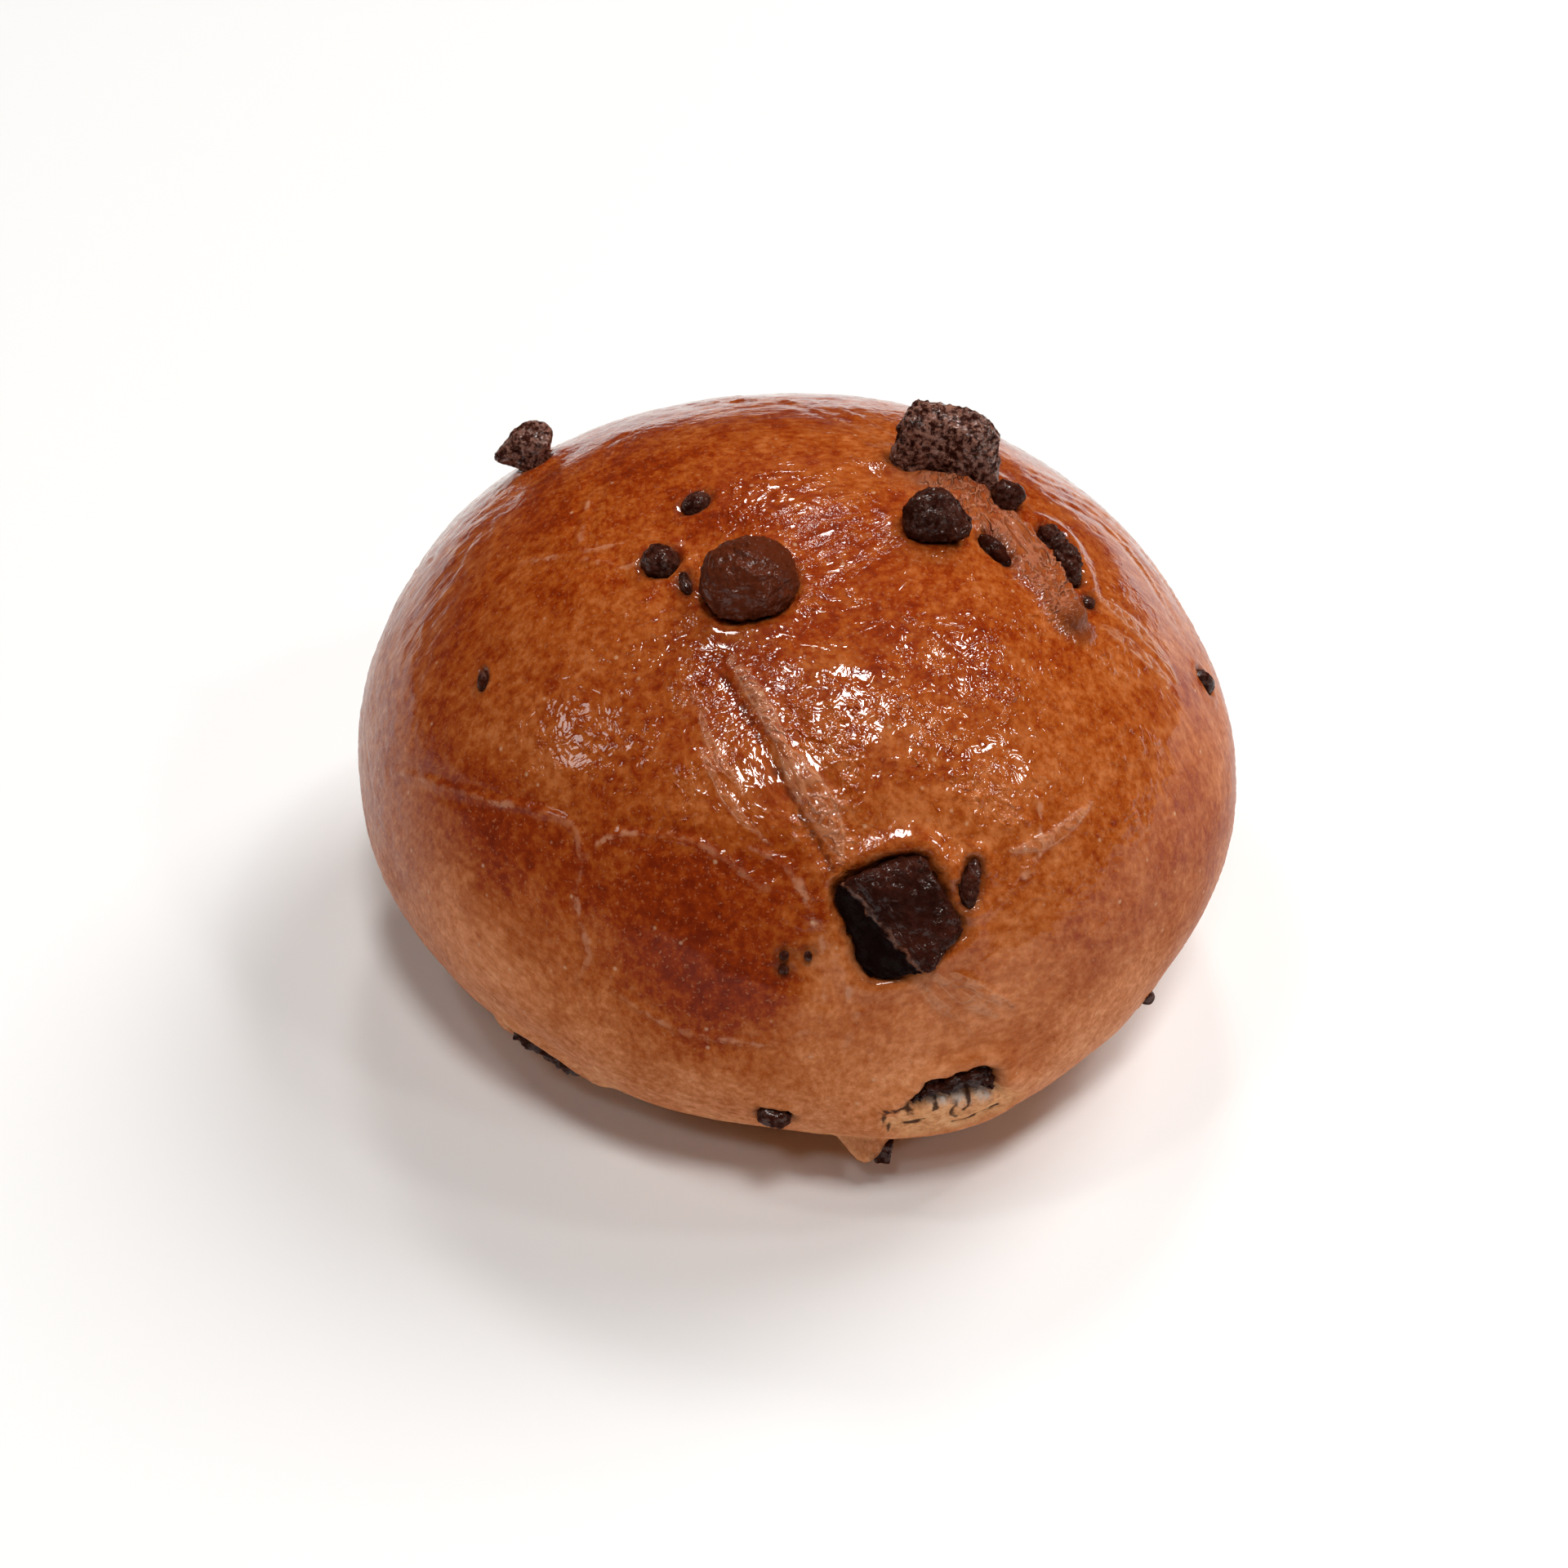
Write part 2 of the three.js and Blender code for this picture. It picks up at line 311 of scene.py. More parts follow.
def on_dough(bearing, rise):
    """The dough's point at this bearing and rise, in millimetres."""
    turn, lift = math.radians(bearing), math.radians(rise)
    power = CROWN_POWER if rise > 0 else FOOT_POWER
    reach = bun_high[2] - waist[2] if rise > 0 else FOOT_DROP * waist[2]
    across = waist_radius * max(math.cos(lift), 0) ** power
    way = Vector((across * math.cos(turn), across * math.sin(turn), reach * math.sin(lift)))
    return np.array(dough_tree.ray_cast(Vector(waist), way.normalized())[0])


def along_path(points, path):
    """How far each point is from a path, and how far along the path it lies, from 0 to 1."""
    best = np.full(len(points), np.inf)
    share = np.zeros(len(points))
    lengths = np.linalg.norm(np.diff(path, axis=0), axis=1)
    walked = np.concatenate([[0], np.cumsum(lengths)]) / lengths.sum()
    for start, end, s0, s1 in zip(path[:-1], path[1:], walked[:-1], walked[1:]):
        step = end - start
        t = np.clip((points - start) @ step / (step @ step), 0, 1)
        distance = np.linalg.norm(points - (start + t[:, None] * step), axis=1)
        closer = distance < best
        best = np.where(closer, distance, best)
        share = np.where(closer, s0 + t * (s1 - s0), share)
    return best, share


def smooth_path(places, steps=8):
    """A soft curve through places given as (bearing, rise), as points on the dough."""
    knots = np.array([on_dough(*place) for place in places])
    if len(knots) < 3:
        return np.array([knots[0] + (knots[-1] - knots[0]) * t for t in np.linspace(0, 1, steps)])
    ends = np.vstack([2 * knots[0] - knots[1], knots, 2 * knots[-1] - knots[-2]])
    curve = []
    for a, b, c, d in zip(ends[:-3], ends[1:-2], ends[2:-1], ends[3:]):
        for t in np.linspace(0, 1, steps, endpoint=False):
            curve.append(
                0.5 * (2 * b + (c - a) * t + (2 * a - 5 * b + 4 * c - d) * t**2
                       + (3 * b - 3 * c + d - a) * t**3)
            )
    return np.array(curve + [knots[-1]])


print("crown at", on_dough(0, 90).round(1))

# %% [markdown]
# The skin of the dough tells how it was shaped. A crease runs down the front from the round chip
# to the big chunk, and beside it the skin was pinched up into a pale fold. Thin pale seams branch
# on the left. A strip of stretched dough runs down from the crown on the right and ends in a
# smooth lobe. Low on the front the skin tore and shows crumb streaked with chocolate, and beside
# that a little nub of dough was pinched out.

# %% Where the marks lie
# Places are (bearing, rise) in degrees; widths, heights and reaches are in millimetres.
CREASE = [(-107.2, 55.5), (-101.6, 51.4), (-94.5, 44.6), (-91.5, 40.9), (-88.5, 36.4), (-85.1, 30.4)]
PINCHES = [  # the path of each fold, its half width, how high it stands
    ([(-103.9, 55.9), (-96.8, 51.0), (-93.4, 47.2), (-91.8, 43.6)], 0.9, 0.42),
    ([(-92.6, 46.2), (-90.2, 43.1), (-87.2, 39.4), (-85.2, 36.0), (-84.0, 31.8)], 1.7, 0.32),
    ([(-109.5, 50.5), (-103.0, 44.0), (-97.5, 39.5)], 0.5, 0.12),
    ([(-106.0, 44.5), (-99.5, 38.0), (-93.5, 33.5)], 0.5, 0.12),
    ([(-74.0, 16.0), (-70.1, 10.9), (-66.5, 7.4)], 0.7, 0.40),
    ([(-71.6, 15.4), (-68.4, 12.0), (-64.0, 7.4)], 0.7, 0.40),
    ([(-75.5, 14.5), (-73.4, 11.0), (-70.8, 8.0)], 0.6, 0.30),
    ([(-61.5, 28.9), (-56.3, 28.5), (-52.5, 29.2), (-47.6, 30.4)], 0.8, 0.26),
    ([(-18.4, 48.7), (-18.0, 43.9), (-17.6, 37.5), (-18.8, 32.6)], 1.1, 0.24),
    ([(-24.4, 46.5), (-22.0, 39.4), (-21.0, 34.1)], 0.9, 0.20),
]
SEAMS = [
    [(-158, 18.5), (-150.4, 22.5), (-136.5, 27.6), (-123.0, 30.4), (-119.3, 25.9)],
    [(-119.3, 25.9), (-115.1, 31.1), (-104, 32.6), (-93.5, 27.5)],
    [(-119.3, 25.9), (-118.6, 20.5), (-116.2, 13.9), (-117.5, 8)],
    [(-168, 50), (-160, 57), (-143, 62.5), (-136, 69)],
    [(150, 62), (-172, 62), (-157, 60), (-148, 68)],
    [(80, 66), (66, 72), (40, 74), (22, 73)],
    [(118, 60), (96, 68), (64, 76), (20, 76)],
    [(16.1, 55.9), (17.6, 44.6), (13.1, 35.6), (6, 28.5), (1.5, 22.5)],
    [(10.1, 54.8), (10.1, 46.1), (3.4, 39), (-4.1, 34.1)],
    [(-70.9, 9), (-69.7, 5.6), (-69.4, 3)],
    [(-84, 15), (-83.2, 10.9), (-82.5, 8.2)],
    [(-66, 22), (-58, 27), (-55, 34)],
    [(-97, 33), (-91, 30.5), (-88, 25), (-86.5, 18.5), (-86.5, 13)],
    [(-84, 5.5), (-82.8, 9.5), (-80.2, 11.5)],
    [(-112, 9), (-104, 5.5), (-94, 5), (-88, 8)],
    [(140, 40), (120, 34), (104, 36), (88, 30), (60, 36)],
    [(104, 36), (98, 22), (108, 6), (100, -10)],
    [(60, 36), (44, 26), (40, 10), (48, -8)],
    [(170, 34), (160, 18), (164, 2), (150, -14)],
]
PULLS = [  # fine ridges where the skin was pulled tight between the chips on the crown
    [(-2, 77.4), (2, 81.6), (-43, 84.6), (-85, 83)],
    [(-18, 76.9), (-39, 79.1), (-73, 80.6), (-101, 78.4), (-113, 74.6)],
    [(-24, 76), (-45, 78), (-76, 79), (-99, 76.6)],
    [(-28, 75.2), (-51, 76.8), (-80, 77.4), (-97, 75)],
    [(-38, 73.6), (-58, 75.6), (-82, 75.4), (-94, 73)],
    [(-40, 73.2), (-58, 74.2), (-83, 72.4), (-93, 70.5)],
    [(-43, 71.6), (-61, 72.2), (-76, 70.8), (-90, 69)],
    [(-46, 70.2), (-62, 69.6), (-76, 67.4), (-88, 65)],
]
RIDGE = [(0, 72.8), (-8.5, 67.6), (-16, 62), (-23, 56.6), (-28.5, 50.6)]
RIDGE_HALF_WIDTH = 3.3
LOBE_MIDDLE = (-29.5, 48.6)
LOBE_REACH = 3.1
SMEARS = [  # thin streaks of melted chocolate on the torn crumb
    [(-78.4, -21.5), (-79.5, -13), (-78.8, -10.9), (-77.6, -10.5), (-76.5, -12.0), (-76.1, -15.0)],
    [(-76.9, -19.5), (-75.4, -19.1), (-74.2, -18.8)],
    [(-71.3, -10.0), (-70.9, -15.4), (-70.3, -20)],
    [(-69.4, -10), (-69.4, -17.6)],
    [(-73.5, -9.5), (-73.2, -14)],
    [(-69.8, -23.6), (-67.1, -22.5), (-64.5, -21.0)],
    [(-67.5, -31.1), (-65.6, -31.5), (-63.8, -31.1)],
    [(-77.2, -33.0), (-75, -32.3), (-72.8, -31.5), (-70, -31.8)],
]
TORN_MIDDLE = (-70.8, -17)
TORN_REACH = (8.0, 4.4)  # half width and half height
FLOUR = [  # floury bits just under the arched chip
    [(-73.7, -9.6), (-72.4, -9.4)],
    [(-70.7, -10.2), (-69.8, -12)],
    [(-68.2, -9), (-67.1, -12)],
]
NUB_MIDDLE = (-79.8, -37)
NUB_REACH = 3.1
NUB_PUSH = 3.2


def nearest_path(points, paths):
    """How far each point is from the nearest of these paths on the dough."""
    return np.min([along_path(points, smooth_path(path))[0] for path in paths], axis=0)


skin = points_of(dough)
outward = normals_of(dough)
ways = unit(skin - waist)
crease_far, crease_share = along_path(skin, smooth_path(CREASE))
ridge_far, ridge_share = along_path(skin, smooth_path(RIDGE))
seam_far = nearest_path(skin, SEAMS)
pull_far = nearest_path(skin, PULLS)
smear_far = nearest_path(skin, SMEARS)
flour_far = nearest_path(skin, FLOUR)
torn_middle = on_dough(*TORN_MIDDLE)
nub_middle = on_dough(*NUB_MIDDLE)
print("seams:", len(SEAMS), "folds:", len(PINCHES), "pulled ridges:", len(PULLS))

# %% [markdown]
# Wrinkles follow the pull in the skin: they are long along it and narrow across it. Where the
# skin was pulled, places are squeezed together along the pull before they are fed to a noise, so
# that the noise comes out stretched. The squeezed places are kept on the mesh for the finish too.


# %% The flow of the skin
def angle_from_point(point):
    """Degrees between each point of the dough and this one, seen from the middle of the waist."""
    return np.degrees(np.arccos(np.clip(ways @ unit(point - waist), -1, 1)))


def angle_from(bearing, rise):
    return angle_from_point(on_dough(bearing, rise))


FLOWS = [  # from, to, how far the pull reaches in degrees
    ((-38, 74), (-94, 74), 15),
    ((-4, 68), (-28, 52), 9),
    ((16, 56), (6, 28), 19),
    ((-18, 40), (-18, 14), 20),
    ((60, 68), (125, 68), 24),
    ((175, 50), (-175, 24), 22),
    ((-100, 50), (-86, 34), 8),
    ((-120, 2), (-140, 8), 16),
    ((-52, -6), (-84, -4), 14),
    ((90, 10), (120, 14), 26),
    ((60, 30), (40, -6), 22),
]
SQUEEZE = 0.8  # how much of the length along the pull is taken out

flow = skin.copy()
for start, end, reach in FLOWS:
    head, tail = on_dough(*start), on_dough(*end)
    pull = unit(tail - head)
    between = (head + tail) / 2
    if abs(start[0] - end[0]) < 180:  # more only where the pull crosses the back
        far = angle_from((start[0] + end[0]) / 2, (start[1] + end[1]) / 2)
    else:
        far = angle_from_point(between)
    share = bell(far, reach)
    along = (skin - between) @ pull
    flow -= (SQUEEZE * share * along)[:, None] * pull
print("flow of the skin from", len(FLOWS), "pulls")

# %% [markdown]
# The chips. Chocolate drops and chunks softened in the oven, so they are blunt, lumpy and a
# little pitted, and no two are alike. The small ones are each worked from a copy of their own
# solid in the frame: its loose triangles are joined, it is subdivided, and two displacements
# rough it up.

# %% Rough surfaces
rough_lumps = bpy.data.textures.new("rough_lumps", "CLOUDS")
rough_lumps.noise_scale = 1.9 * MM
rough_lumps.noise_depth = 2
fine_pits = bpy.data.textures.new("fine_pits", "CLOUDS")
fine_pits.noise_scale = 0.65 * MM
fine_pits.noise_depth = 3


def roughen(chip, lumps, pits):
    """Pushes the chip's surface in and out, by lumps and by fine pits this deep in millimetres."""
    for texture, depth in ((rough_lumps, lumps), (fine_pits, pits)):
        apply_modifier(chip, "DISPLACE", texture=texture, texture_coords="LOCAL", strength=depth * MM)
    bpy.ops.object.shade_smooth()


# %% Small chips and drops
LARGE_CHIP = 3.5  # mm from its middle to its furthest corner
RAGGED = {"chip_ridge_long", "chip_left_low", "chip_low_front", "chip_top_sunk", "chip_crown_bead",
          "chip_back_long", "chip_back_low", "chip_front_sliver", "chip_torn_arch"}


def make_chip(name):
    """A rough chip of chocolate from the frame's own solid."""
    mesh = nodes[name].data.copy()
    mesh.materials.clear()
    chip = bpy.data.objects.new(name.replace("chip_", "chocolate_"), mesh)
    bpy.context.scene.collection.objects.link(chip)
    select_only(chip)
    bpy.ops.object.mode_set(mode="EDIT")
    bpy.ops.mesh.select_all(action="SELECT")
    bpy.ops.mesh.remove_doubles(threshold=0.02 * MM)
    bpy.ops.object.mode_set(mode="OBJECT")
    size = chip_reaches[name]
    levels = 3 if size > LARGE_CHIP else 2
    apply_modifier(chip, "SUBSURF", levels=levels, render_levels=levels)
    ragged = 1.7 if name in RAGGED else 1.0
    roughen(chip, min(0.9, 0.24 * size) * ragged, min(0.55, 0.16 * size) * ragged)
    return chip


# %% [markdown]
# The chunks were cut from a bar, so they keep flat sides and corners, which a rounded copy would
# lose. Each is a cube whose eight corners are moved to places given one by one, in millimetres
# from the middle of its solid in the frame. Its edges are bevelled, and a few places are pulled
# out or pushed in: the crown chunk has legs where the dough held it, and the arched chip is hollow
# below.

# %% Chunks with flat sides
LEVEL = "level"  # corners measured to the right, away and up
CRUST = "crust"  # corners measured to the right and up along the crust, and out of it
CHUNKS = {  # kind, bevel, roughness, the corners, and pulls as (place, push, reach)
    "chip_crown_chunk": (LEVEL, 2.5, 0.9, [
        (-6.4, -2.8, -2.8), (6.2, -3.0, -4.2), (6.2, 2.4, -4.0), (-5.8, 2.4, -2.6),
        (-5.5, -2.3, 4.4), (6.7, -2.3, 2.4), (6.1, 2.8, 2.9), (-4.3, 2.8, 6.1),
    ], [((5.2, -2.6, -3.4), (0.5, -0.3, -2.9), 2.0), ((-6.0, -2.0, -1.6), (-0.7, -0.3, -0.9), 1.8)]),
    "chip_front_chunk": (CRUST, 0.9, 1.0, [
        (-7.4, 2.6, -0.6), (-3.6, -7.2, -0.6), (6.9, -1.2, -4.0), (2.1, 6.9, -4.0),
        (-5.7, 5.0, 2.2), (3.2, -6.2, 2.6), (6.6, -1.2, 2.6), (2.4, 6.5, 1.2),
    ], []),
    "chip_shoulder_drop": (LEVEL, 1.2, 0.5, [
        (-4.2, -1.7, -1.2), (1.8, -2.2, -2.8), (3.3, 2.0, -2.8), (-3.6, 1.8, -2.0),
        (-3.5, -1.6, 1.1), (3.9, -2.0, 2.0), (3.4, 2.0, 2.9), (0.2, 1.8, 3.9),
    ], [((1.6, -1.6, -2.4), (0.2, -0.2, -1.0), 1.6)]),
    "chip_crown_drop": (LEVEL, 2.6, 0.6, [
        (-4.3, -3.1, -3.2), (4.0, -3.1, -2.2), (3.7, 2.8, -2.6), (-3.7, 2.8, -2.6),
        (-3.8, -2.8, 2.5), (3.2, -2.4, 1.9), (2.5, 2.3, 3.7), (-3.0, 2.1, 4.3),
    ], [((3.3, -2.2, -1.2), (0.9, -0.3, -0.2), 1.8)]),
    "chip_nub": (LEVEL, 0.3, 0.4, [
        (-1.2, -2.6, -0.7), (0.4, -2.6, -0.9), (0.5, 1.2, -0.9), (-1.2, 1.2, -0.7),
        (-1.9, -1.8, 1.5), (0.9, -1.8, 2.0), (1.0, 1.2, 2.0), (-1.6, 1.2, 1.7),
    ], []),
    "chip_torn_arch": (CRUST, 0.5, 1.9, [
        (-5.6, -0.9, -2.0), (4.0, -1.6, -2.0), (3.8, 1.8, -2.0), (-3.4, 1.8, -2.0),
        (-5.9, -0.6, 0.5), (3.9, -1.2, 0.7), (3.5, 1.7, 0.6), (-3.5, 1.7, 0.6),
    ], [((-0.6, -1.0, 0.2), (0.0, 1.3, 0.0), 2.7)]),
    "chip_back_chunk": (CRUST, 1.2, 0.8, [
        (-5.0, -3.2, -3.8), (3.8, -4.6, -3.8), (5.0, 3.4, -3.8), (-3.6, 4.4, -3.8),
        (-4.6, -3.0, 2.8), (3.6, -4.2, 3.4), (4.6, 3.0, 2.6), (-3.2, 4.0, 3.2),
    ], []),
}
CUBE_ORDER = [  # left or right, near or far, low or high, in the order that corners are given
    (-1, -1, -1), (1, -1, -1), (1, 1, -1), (-1, 1, -1),
    (-1, -1, 1), (1, -1, 1), (1, 1, 1), (-1, 1, 1),
]


def axes_on_crust(middle):
    """The three directions of a place on the crust: along it to the right, up along it, and out."""
    out = np.array(dough_tree.find_nearest(Vector(middle))[1])
    up = unit(np.cross(out, (1, 0, 0)))
    return np.array([np.cross(up, out), up, out])


def make_chunk(name):
    """A chunk with flat sides, from a cube with its corners moved to where they are given."""
    kind, rounding, rough, corners, pulls = CHUNKS[name]
    middle = chip_middles[name]
    axes = axes_on_crust(middle) if kind == CRUST else np.eye(3)
    bpy.ops.mesh.primitive_cube_add(size=2)
    chunk = bpy.context.object
    chunk.name = name.replace("chip_", "chocolate_")
    select_only(chunk)
    signs = [tuple(int(round(c)) for c in vertex.co) for vertex in chunk.data.vertices]
    placed = [middle + np.array(corners[CUBE_ORDER.index(sign)]) @ axes for sign in signs]
    set_points(chunk, np.array(placed))
    bpy.ops.object.mode_set(mode="EDIT")
    bpy.ops.mesh.select_all(action="SELECT")
    bpy.ops.mesh.normals_make_consistent(inside=False)
    bpy.ops.mesh.bevel(offset=rounding * MM, segments=2, affect="EDGES")
    bpy.ops.mesh.subdivide(number_cuts=1)
    bpy.ops.object.mode_set(mode="OBJECT")
    for spot, push, reach in pulls:
        near = np.linalg.norm(points_of(chunk) - (middle + np.array(spot) @ axes), axis=1) < reach
        select_vertices(chunk, near)
        bpy.ops.transform.translate(
            value=(np.array(push) @ axes) * MM, use_proportional_edit=True,
            proportional_edit_falloff="SMOOTH", proportional_size=reach * MM,
        )
        bpy.ops.object.mode_set(mode="OBJECT")
    apply_modifier(chunk, "SUBSURF", levels=3, render_levels=3)
    roughen(chunk, rough, 0.75 * rough)
    return chunk


chips = {name: make_chunk(name) if name in CHUNKS else make_chip(name) for name in chip_names}
print("chips made:", len(chips), "faces:", sum(len(chip.data.polygons) for chip in chips.values()))

# %% [markdown]
# Now the surface is worked like clay: each point moves in or out by the sum of all that happened
# to it. The dough rose unevenly, it swelled up round the chips and left a dark gap against them,
# and it was wrinkled, pinched, creased and torn.


# %% Wrinkles in the glazed skin
def ridged(values, sharp=2.0):
    """Turns smooth noise into narrow ridges, from 0 to 1."""
    return np.clip(1 - np.abs(values) * sharp, 0, 1) ** 2


UNEVEN_RISE, SMALL_LUMPS = 0.35, 0.08  # heights in millimetres
CRINKLE_HEIGHT, RIPPLE_HEIGHT, RIM_WRINKLES = 0.17, 0.07, 0.10

level = np.degrees(np.arcsin(ways[:, 2]))  # above or below the waist
wet_far = angle_from(-66, 58)  # from the middle of the wettest glaze
wrinkled = 0.10 + 0.90 * smoothstep(50, 24, wet_far)
wrinkled += 0.55 * bell(angle_from(-130, 38), 8)
wrinkled += 0.35 * bell(angle_from(-50, 26), 10)
wrinkled = np.clip(wrinkled * smoothstep(-12, 14, level), 0, 1)
rim = smoothstep(50, 78, angle_from(-80, 42))  # 1 on the far slope, away from the front

height = np.zeros(len(skin))  # how far each point moves outwards, mm
height += UNEVEN_RISE * cloud(skin, 21, 1, 2)
height += SMALL_LUMPS * cloud(skin, 6, 2, 2)
calm = smoothstep(-0.15, 0.15, cloud(skin, 7, 33, 2))  # 0 where the glaze lies smooth
crinkles = ridged(cloud(flow, 3.4, 31, 3)) * (0.2 + 0.8 * calm)
height += CRINKLE_HEIGHT * crinkles * wrinkled
height += RIPPLE_HEIGHT * cloud(flow, 1.9, 34, 1) * wrinkled * calm
height += RIM_WRINKLES * ridged(cloud(flow, 2.6, 32, 3)) * rim

# %% Crease, folds, seams and the stretched strip
CREASE_DEPTH, VALLEY_DEPTH = 0.34, 0.6
SEAM_DIP, SEAM_RISE, PULL_RISE = 0.16, 0.12, 0.19
STRIP_RISE, LOBE_RISE, STRIP_FOOT_DIP = 0.85, 0.9, 0.40

wander = 0.35 * cloud(skin, 3, 3, 2)
crease_ends = smoothstep(0, 0.12, crease_share) * smoothstep(1, 0.96, crease_share)
height -= CREASE_DEPTH * bell(crease_far + 1.5 * wander, 0.5) * crease_ends
height -= VALLEY_DEPTH * bell(crease_far, 8) * smoothstep(0, 0.3, crease_share)

pinch = np.zeros(len(skin))
fold_edge = np.full(len(skin), 5.0)  # 0 along the middle of a fold, 1 at its foot
for path, half_width, rise in PINCHES:
    far, share = along_path(skin, smooth_path(path))
    swell = np.sin(np.clip(share, 0.04, 0.96) * math.pi) ** 0.6
    edge = far / (half_width * swell) + 0.2 * cloud(skin, 1.6, 7, 2)
    inside = smoothstep(1.25, 0.65, edge)
    pinch = np.maximum(pinch, inside * min(1, 0.35 + rise))
    fold_edge = np.minimum(fold_edge, edge)
    height += rise * inside * (0.75 + 0.5 * cloud(flow, 1.3, 8, 2))

height -= SEAM_DIP * bell(seam_far + wander - 0.9, 0.7)
height += SEAM_RISE * bell(seam_far + wander, 0.5)
height += PULL_RISE * bell(pull_far + 0.4 * wander, 0.62) * (0.8 + 0.7 * cloud(skin, 2.4, 9, 2))

ridge_width = RIDGE_HALF_WIDTH * (0.75 + 0.35 * np.sin(ridge_share * math.pi))
ridge_edge = ridge_far / ridge_width + 0.14 * cloud(skin, 3, 10, 2)
ridge = smoothstep(1.12, 0.62, ridge_edge) * smoothstep(0, 0.1, ridge_share + 0.06)
lobe_far = np.linalg.norm(skin - on_dough(*LOBE_MIDDLE), axis=1)
lobe = smoothstep(LOBE_REACH, 0.45 * LOBE_REACH, lobe_far)
strip_lift = STRIP_RISE * ridge * (1 + 0.6 * cloud(flow, 1.8, 4, 3)) + LOBE_RISE * lobe
strip_lift -= STRIP_FOOT_DIP * bell(ridge_edge - 1.2, 0.2) * smoothstep(0.1, 0.4, ridge_share)

# %% The torn skin and the nub, low on the front
TORN_SWELL, TORN_DEPTH, TORN_LIP, SMEAR_DEPTH = 0.8, 0.35, 0.3, 0.3

torn_out = unit(torn_middle - waist)
torn_along = unit(np.cross((0, 0, 1), torn_out))
torn_up = np.cross(torn_out, torn_along)
torn_x = (skin - torn_middle) @ torn_along
torn_y = (skin - torn_middle) @ torn_up
torn_edge = np.hypot(torn_x / TORN_REACH[0], torn_y / TORN_REACH[1]) + 0.22 * cloud(skin, 3, 5, 3)
torn = smoothstep(1.08, 0.86, torn_edge) * ((skin - torn_middle) @ torn_out > -9)
height += TORN_SWELL * bell(np.linalg.norm(skin - torn_middle, axis=1), 9)
height -= TORN_DEPTH * torn * (1 + 0.7 * cloud(skin, 1.6, 6, 3))
height += TORN_LIP * bell((torn_edge - 1.16) * 5, 1.0)
height -= SMEAR_DEPTH * bell(smear_far, 0.45) * torn

nub_gap = np.linalg.norm((skin - nub_middle) * (0.8, 1, 1.2), axis=1)
nub_push = NUB_PUSH * smoothstep(NUB_REACH, 0.4, nub_gap)

# %% [markdown]
# Each chip and its hollow. The finished chips tell how far every point of the dough is from the
# chocolate. Just round a chip the dough swells up a little, and right against it stays a thin
# deep gap. Chips that stand on the crust get a small foot of dough instead.

# %% Press the chips' hollows
STANDING = {"chip_crown_chunk", "chip_crown_drop", "chip_crown_bead", "chip_top_round",
            "chip_shoulder_drop", "chip_back_drop", "chip_back_chunk", "chip_nub"}
FOOT_RISE, FOOT_GAP = 0.55, 0.6  # round a chip that stands on the crust
COLLAR_RISE, GAP_DEPTH, HOLLOW_DEPTH = 0.65, 1.2, 1.5  # round a sunk chip, against it and below it
RAGGED_RIM = 0.5

chip_gap = np.full(len(skin), 50.0)  # mm from each point to the nearest chocolate
for name in chip_names:
    chip_tree = tree_of(chips[name])
    reach = chip_reaches[name]
    close = np.flatnonzero(np.linalg.norm(skin - chip_middles[name], axis=1) < reach + 7)
    gap = np.empty(len(close))
    for i, index in enumerate(close):
        point, out = Vector(skin[index]), Vector(outward[index])
        distance = chip_tree.find_nearest(point)[3]
        hit, facing = chip_tree.ray_cast(point, out)[:2]  # a way out of the chip, or none
        inside = hit is not None and facing.dot(out) > 0
        gap[i] = -distance if inside else distance
    chip_gap[close] = np.minimum(chip_gap[close], gap)
    wide = min(1.0, reach / 5)  # a small chip moves less dough
    if name in STANDING:
        height[close] += FOOT_RISE * wide * bell(gap - 0.7, 1.5 * wide + 0.3)
        height[close] -= FOOT_GAP * wide * bell(gap, 0.4)
    else:
        height[close] += COLLAR_RISE * wide * bell(gap - 1.4 * wide, wide + 0.3)
        height[close] -= GAP_DEPTH * wide * bell(gap + 0.1, 0.42)
        height[close] -= HOLLOW_DEPTH * wide * smoothstep(0, -0.6, gap)
    if name in RAGGED:
        height[close] += RAGGED_RIM * cloud(skin[close], 1.3, 35, 2) * bell(gap, 0.9)
height += strip_lift * smoothstep(-0.1, 1.0, chip_gap)

# %% Move the skin and keep the foot flat
skin = skin + outward * height[:, None]
nub_way = unit(np.array([0.02, -1.0, -0.42]))
skin = skin + nub_push[:, None] * nub_way
skin[:, 2] = np.maximum(skin[:, 2], 0)
set_points(dough, skin)
select_only(dough)
bpy.ops.object.shade_smooth()
print("worked dough:", np.ptp(skin, axis=0).round(1), "mm")

# %% [markdown]
# The crust's colour follows its heat: most at the top, where the glaze also browned it, and least
# at the foot. The pale foot and a few pale places low on the flank are partly lighter baking and
# partly painted light, standing in for light thrown up from the white table. Numbers kept on the
# mesh's points carry such things to the material: how baked and lit from below, how glazed, how
# wrinkled, how torn and how stained it is, where the stain round the chips also holds painted
# contact shade, and how far away the nearest seam, crease and streak are.


# %% Numbers for the crust's finish
def keep_numbers(thing, name, values):
    """Keeps one number on each point of the mesh."""
    layer = thing.data.attributes.new(name, "FLOAT", "POINT")
    layer.data.foreach_set("value", np.asarray(values, dtype=np.float32))


def keep_places(thing, name, places):
    """Keeps a place in millimetres on each point of the mesh, in metres."""
    layer = thing.data.attributes.new(name, "FLOAT_VECTOR", "POINT")
    layer.data.foreach_set("vector", np.asarray(places * MM, dtype=np.float32).ravel())


